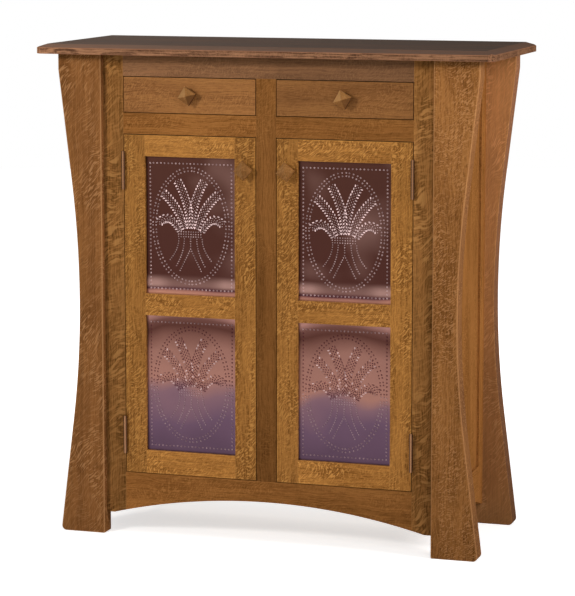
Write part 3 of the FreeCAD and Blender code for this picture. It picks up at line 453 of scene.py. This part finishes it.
# The upper sheets are painted dark brown as a painted reflection of a dark room, with a bright
# painted reflection along the foot, two pale reflected patches above it, and a faint reflected
# haze.
upper_reflections = copper.add("ValToRGB", {"stops": [
    (0.0, paint(168, 118, 98)), (0.022, paint(132, 88, 78)), (0.035, paint(66, 36, 42)),
    (0.06, paint(76, 46, 42)), (0.1, paint(66, 38, 33)), (1.0, paint(69, 42, 35))]},
    {"Fac": height * 0.5 + 0.5 + cloud * 0.05})
reflected_band = height.step(-0.93, -0.86) - height.step(-0.84, -0.7)
reflected_band = reflected_band * (0.4 + 0.6 * outward.step(0.1, 0.6))
reflected_haze = (cloud + sideways * 0.12).step(0.02, 0.3)
reflected_lights = reflected_band.maths("MAXIMUM", reflected_band * 0.9, reflected_haze * 0.3)
upper_reflections = copper.mix(reflected_lights, upper_reflections, paint(146, 112, 104))
# The lower ones are painted with reflections: pink above, under a dark band that is the
# painted shadow of the rail, and purple below.
lower_reflections = copper.add("ValToRGB", {"stops": [
    (0.0, paint(80, 60, 75)), (0.22, paint(90, 68, 84)), (0.4, paint(110, 82, 90)),
    (0.5, paint(140, 99, 88)), (0.74, paint(128, 90, 80)), (0.84, paint(102, 68, 60)),
    (0.9, paint(74, 44, 38)), (0.95, paint(92, 60, 54)), (1.0, paint(150, 108, 100))]},
    {"Fac": height * 0.5 + 0.5 + cloud * 0.3 * (1.1 - height) + (outward - 0.6) * 0.05})
tones = copper.mix(lower, upper_reflections, lower_reflections)
# Painted glints on the burrs' heads, and painted shade on their flanks and in their holes.
tones = copper.mix(stain, tones, paint(255, 222, 220))
tones = copper.mix(0 - stain, tones, paint(70, 24, 36))
copper.add("OutputMaterial", {}, {"Surface": copper.add("BsdfPrincipled", {}, {
    "Base Color": tones, "Metallic": 1.0, "Roughness": 0.3 + grime * 0.12,
    "Normal": copper.add("Bump", {}, {"Strength": 0.15, "Distance": 0.0004,
                                      "Height": grime}, "Normal")})})


def spaced(line, pitch):
    """Places at an even pitch along line(t), for t from 0 to 1, with the direction at each."""
    steps = 240
    points = [Vector(line(step / steps)) for step in range(steps + 1)]
    length = sum((b - a).length for a, b in zip(points, points[1:]))
    gap = length / round(length / pitch)
    travelled, due = 0, 0
    for a, b in zip(points, points[1:]):
        travelled += (b - a).length
        if travelled > due:
            yield b, (b - a).normalized()
            due += gap


def bent(start, bend, end):
    """A line from start to end that leans towards bend."""
    return lambda t: [(1 - t) ** 2 * a + 2 * t * (1 - t) * b + t * t * c
                      for a, b, c in zip(start, bend, end)]


def sheaf():
    """Every punch mark of a sheet: its place, direction, kind and width in millimetres."""
    wide_pitch, stem_pitch, ear_pitch = 9.4, 6, 7.8
    corners = [Vector(c) for c in ((-105, -156), (105, -156), (105, 153), (-105, 153))]
    for a, b in zip(corners, corners[1:] + corners[:1]):
        for spot, way in spaced(lambda t: a.lerp(b, t), wide_pitch):
            yield spot, way, "dot", 4.4
    for spot, way in spaced(lambda t: (94.5 * sin(2 * pi * t), 139.5 * cos(2 * pi * t)),
                            wide_pitch):
        for gap in (-4, 4):
            yield spot + gap * Vector((way.y, -way.x)), way, "dot", 4.2

    # The band round the stems, a stem in the middle, and then each half of the sheaf.
    for z in (-14, -20, -26):
        for spot, way in spaced(lambda t: (64 * t - 32, z), 6.4):
            yield spot, way, "dot", 3.4
    for spot, way in spaced(lambda t: (-1, -31 - 24 * t), stem_pitch):
        yield spot, way, "dot", 3.4
    for hand in (-1, 1):
        for stem in (((30, -31), (31, -60), (57, -88)), ((16, -31), (17, -68), (40, -103)),
                     ((0, -56), (13, -82), (30, -115))):
            for spot, way in spaced(bent(*stem), stem_pitch):
                yield Vector((hand * spot.x - 1, spot.y)), way, "dot", 3.4
        for ear in (((3, -4), (0, 56), (37, 115)), ((15, -6), (31, 46), (69, 78)),
                    ((29, -12), (57, 38), (86, 3))):
            for step, (spot, way) in enumerate(spaced(bent(*ear), ear_pitch)):
                side = Vector((way.y, -way.x))
                for row in (-1, 1):
                    lean = way * 0.75 + side * row * 0.66
                    kernel = spot + side * row * (5.3 + 3.8 * min(1, step / 6))
                    yield (Vector((hand * kernel.x, kernel.y)),
                           Vector((hand * lean.x, lean.y)), "kernel", 3.9)
                    awn = spot.lerp(kernel, 0.5) + way * 3.9
                    yield Vector((hand * awn.x, awn.y)), way, "awn", 2.8
                yield Vector((hand * spot.x, spot.y)), way, "awn", 3.2


# How many times longer than wide each kind of mark is.
mark_lengths = {"dot": 1, "awn": 1.1, "kernel": 1.8}

# The painted shade on the flank of each kind of mark, and the painted glint on its head as a
# share of its glint and what is added to that. Above 0 the paint is a bright glint, and below
# 0 shade.
upper_burr_light = {"dot": (-0.1, 0.6, 0), "awn": (-0.9, 0.4, 0), "kernel": (-0.9, 1, 0)}
lower_burr_light = {"dot": (-0.7, 0.35, 0), "awn": (-0.9, 0, -1), "kernel": (-0.9, 2.4, -1.9)}
hole_shade = dimple_dark = -0.8


def sheet_of_copper(node, number):
    """A wavy sheet in the place of a CAD one, with its burrs, their holes and its dimples."""
    low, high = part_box(node)
    middle, thickness, lower_one = (low + high) / 2, high.y - low.y, "lower" in node
    mesh = bmesh.new()
    sheet_place = mesh.verts.layers.float_vector.new("sheet")
    stain = mesh.verts.layers.float.new("stain")

    def dent(x, z):
        """How far the sheet stands back from its rabbet, which holds its edges straight."""
        free_width, free_height, depth, ripples = 0.114, 0.168, 0.0006, 16
        free = max(0, 1 - (x / free_width) ** 2) * max(0, 1 - (z / free_height) ** 2)
        return depth * free * noise.noise(Vector((x * ripples, z * ripples, 7.7 * number)))

    bmesh.ops.create_grid(mesh, x_segments=36, y_segments=52, size=0.5)
    bmesh.ops.scale(mesh, verts=mesh.verts, vec=(high.x - low.x, high.z - low.z, 1))
    bmesh.ops.rotate(mesh, verts=mesh.verts, matrix=Matrix.Rotation(pi / 2, 3, "X"))
    for vert in mesh.verts:
        vert.co.y = dent(vert.co.x, vert.co.z)
    for face in mesh.faces:
        face.smooth = True
    bmesh.ops.solidify(mesh, geom=mesh.faces, thickness=thickness)

    # A burr is a low cone, a little wider than its mark at the foot and narrower at the head.
    burr_height, burr_middle = 0.0009, 0.0004
    dots, slits = [], []
    for spot, way, kind, wide in sheaf():
        x, z = spot / 1000
        burr = bmesh.ops.create_cone(
            mesh, cap_ends=True, segments=8, radius1=wide / 1900, radius2=wide / 2600,
            depth=burr_height, matrix=Matrix.Translation((x, dent(x, z) - burr_middle, z))
            @ Matrix.Rotation(-Vector((1, 0)).angle_signed(way, 0), 4, "Y")
            @ Matrix.Rotation(pi / 2, 4, "X")
            @ Matrix.Diagonal((mark_lengths[kind], 1, 1, 1)))["verts"]
        head = min({face for vert in burr for face in vert.link_faces},
                   key=lambda face: face.calc_center_median().y)
        (dots if kind == "dot" else slits).append(head)
        flank, share, added = (lower_burr_light if lower_one else upper_burr_light)[kind]
        # The dots in the upper half of a lower sheet are painted dark as shade, but for the
        # top row.
        if lower_one and kind == "dot" and 0 < spot.y < 150:
            added = -0.7
        glint = 0.75 + 0.25 * sin(9 * spot.x + 7 * spot.y)
        for vert in burr:
            vert[stain] = flank
        for vert in head.verts:
            vert[stain] = share * glint + added

    # A dimple behind each burr, a hair proud of the sheet's back.
    hair = 0.00002
    dimples = [part for part in bmesh.ops.duplicate(mesh, geom=dots + slits)["geom"]
               if isinstance(part, bmesh.types.BMFace)]
    bmesh.ops.reverse_faces(mesh, faces=dimples)
    for vert in {vert for dimple in dimples for vert in dimple.verts}:
        vert[stain] = dimple_dark
        vert.co.y += thickness + burr_middle + burr_height / 2 + hair
    bmesh.ops.solidify(mesh, geom=dimples, thickness=0.0004)

    # A hole in the head of each burr, painted dark as shade.
    for heads, rim in ((dots, 0.0006), (slits, 0.001)):
        bmesh.ops.inset_individual(mesh, faces=heads, thickness=rim, depth=0)
        bmesh.ops.inset_individual(mesh, faces=heads, thickness=0.0002, depth=-0.0006)
        for vert in {vert for head in heads for vert in head.verts}:
            vert[stain] = hole_shade
    half_width, half_height = 0.116, 0.1694
    for vert in mesh.verts:
        vert[sheet_place] = (vert.co.x / half_width, vert.co.z / half_height, lower_one)
    bmesh.ops.translate(mesh, verts=mesh.verts, vec=(middle.x, low.y, middle.z))
    finished(node + "_sheet", mesh, copper.owner, node)


for number, node in enumerate(("left_door_upper_copper", "left_door_lower_copper",
                               "right_door_upper_copper", "right_door_lower_copper")):
    sheet_of_copper(node, number)


# --- Hinges ---------------------------------------------------------------------------------
# Butt hinges of browned steel: two leaves with rolled knuckles on a loose pin, let into the
# stiles. Their barrels carry a narrow painted highlight along the front.
steel = Finish(bpy.data.materials.new("dark_steel"))
painted_highlight = steel.add("Attribute", {"attribute_name": "worn"}, output="Fac")
steel.add("OutputMaterial", {}, {"Surface": steel.add("BsdfPrincipled", {}, {
    "Base Color": steel.mix(painted_highlight, paint(98, 70, 50), paint(160, 116, 84)),
    "Metallic": 1.0, "Roughness": 0.3})})


def barrel_highlight(face, worn):
    """The painted highlight of a hinge, whatever was there before: 1 in the stripe and 0
    elsewhere.
    """
    return abs(face.normal.x - 0.1) < 0.2 and face.normal.y < -0.5


for node in ("frame_hinge_leaves", "hinge_pins", "left_door_hinge_leaves",
             "right_door_hinge_leaves"):
    dressed(node, steel.owner, arris=0, paint_light=barrel_highlight)


# --- Knobs ----------------------------------------------------------------------------------
# Square pyramids cut from oak blocks, each screwed on from behind and left at its own angle.
# Their upper left facets are painted pale as painted light, and the lower right ones painted
# dark as painted shade.
knob_oak = oak("knob_oak", paint(172, 118, 62), paint(112, 70, 30), paint(222, 172, 112),
               flecks=0.15, strokes=0.3, gloss=0.38, shadow_colour=paint(88, 52, 22))
for hand in ("left", "right"):
    for owner, facet_light, tone in (("door", 0.2, -0.2), ("drawer", 1.1, -0.15)):
        dressed(f"{hand}_{owner}_knob", knob_oak, arris=0.001, tone=tone,
                paint_light=lambda face, worn: facet_light * (face.normal.z - face.normal.x))


# --- Drawers --------------------------------------------------------------------------------
# Inset oak fronts, half-blind dovetailed to boxes of unstained oak. The bottoms are slid into
# grooves from behind.
drawer_oak = oak("drawer_oak", paint(170, 116, 64), paint(104, 62, 28), paint(180, 126, 74),
                 flecks=0.3, long=0.003, wide=0.012, strokes=0.4)
for hand, tone in (("left", 0.06), ("right", -0.14)):
    dressed(f"{hand}_drawer_front", drawer_oak, arris=0.0006, tone=tone)
    dressed(f"{hand}_drawer_box", inner_wood, arris=0)
    dressed(f"{hand}_drawer_bottom", inner_wood, arris=0)
